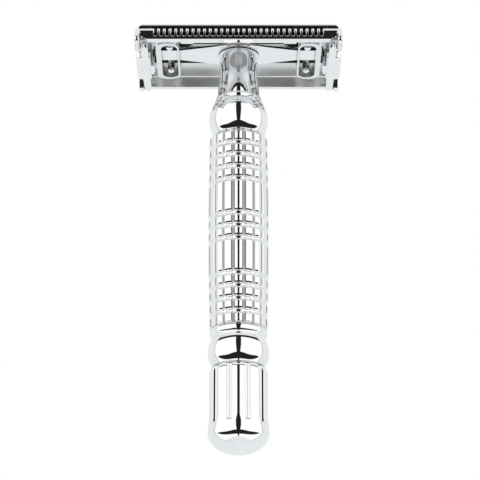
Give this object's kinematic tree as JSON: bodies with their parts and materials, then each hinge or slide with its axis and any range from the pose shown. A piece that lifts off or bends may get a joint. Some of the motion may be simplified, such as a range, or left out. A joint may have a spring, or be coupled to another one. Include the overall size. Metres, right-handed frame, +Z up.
{
  "type": "safety razor",
  "caption": "Chromed twist-to-open double-edge safety razor: ribbed barrel handle, fluted end knob, beads, slim neck and a wide guarded head with two hinged doors.",
  "frame": {"origin": "the flat tip of the knob, on the handle's axis", "axes": "+Z up the handle to the head, +X along the blade's edges, -Y is the front"},
  "size_m": [0.0432, 0.0252, 0.0912],
  "materials": {
    "chrome": "mirror-polished plating",
    "blade_steel": "fine ground strip steel",
    "plain_steel": "turned and lightly polished",
    "spring_steel": "drawn wire, oiled",
    "brass": "turned, satin"
  },
  "bodies": {
    "handle": {"handle_barrel": "chrome", "neck_post": "chrome", "lower_collar": "chrome", "guide_bush": "brass", "guard_tray": "chrome", "bridge_strap": "chrome", "tray_rivets": "chrome", "hinge_pins": "plain_steel", "blade": "blade_steel"},
    "knob": {"twist_knob": "chrome", "knob_dome": "chrome", "knob_nut": "brass", "retaining_ring": "spring_steel", "thrust_washer": "plain_steel"},
    "spindle": {"spindle_rod": "plain_steel", "spring_collar": "plain_steel", "return_spring": "spring_steel", "lift_bar": "plain_steel", "bar_rivet": "plain_steel", "left_yoke": "chrome", "right_yoke": "chrome", "crank_pins": "plain_steel"},
    "front_door": {"front_door": "chrome"},
    "rear_door": {"rear_door": "chrome"}
  },
  "joints": [
    {"name": "knob_twist", "type": "hinge", "parent": "handle", "child": "knob", "pos_m": [0, 0, 0.01], "axis": [0, 0, 1], "range_deg": [0, 450]},
    {"name": "spindle_lift", "type": "slide", "parent": "handle", "child": "spindle", "axis": [0, 0, 1], "range_m": [0, 0.002], "deforming": ["return_spring"]},
    {"name": "front_door_swing", "type": "hinge", "parent": "handle", "child": "front_door", "pos_m": [0, -0.0115, 0.085], "axis": [1, 0, 0], "range_deg": [0, 78]},
    {"name": "rear_door_swing", "type": "hinge", "parent": "handle", "child": "rear_door", "pos_m": [0, 0.0115, 0.085], "axis": [-1, 0, 0], "range_deg": [0, 78]}
  ],
  "couplings": [
    {"joint": "spindle_lift", "follows": "knob_twist", "m_per_rad": 0.00025465},
    {"joint": "front_door_swing", "follows": "knob_twist", "ratio": 0.17333},
    {"joint": "rear_door_swing", "follows": "knob_twist", "ratio": 0.17333}
  ]
}
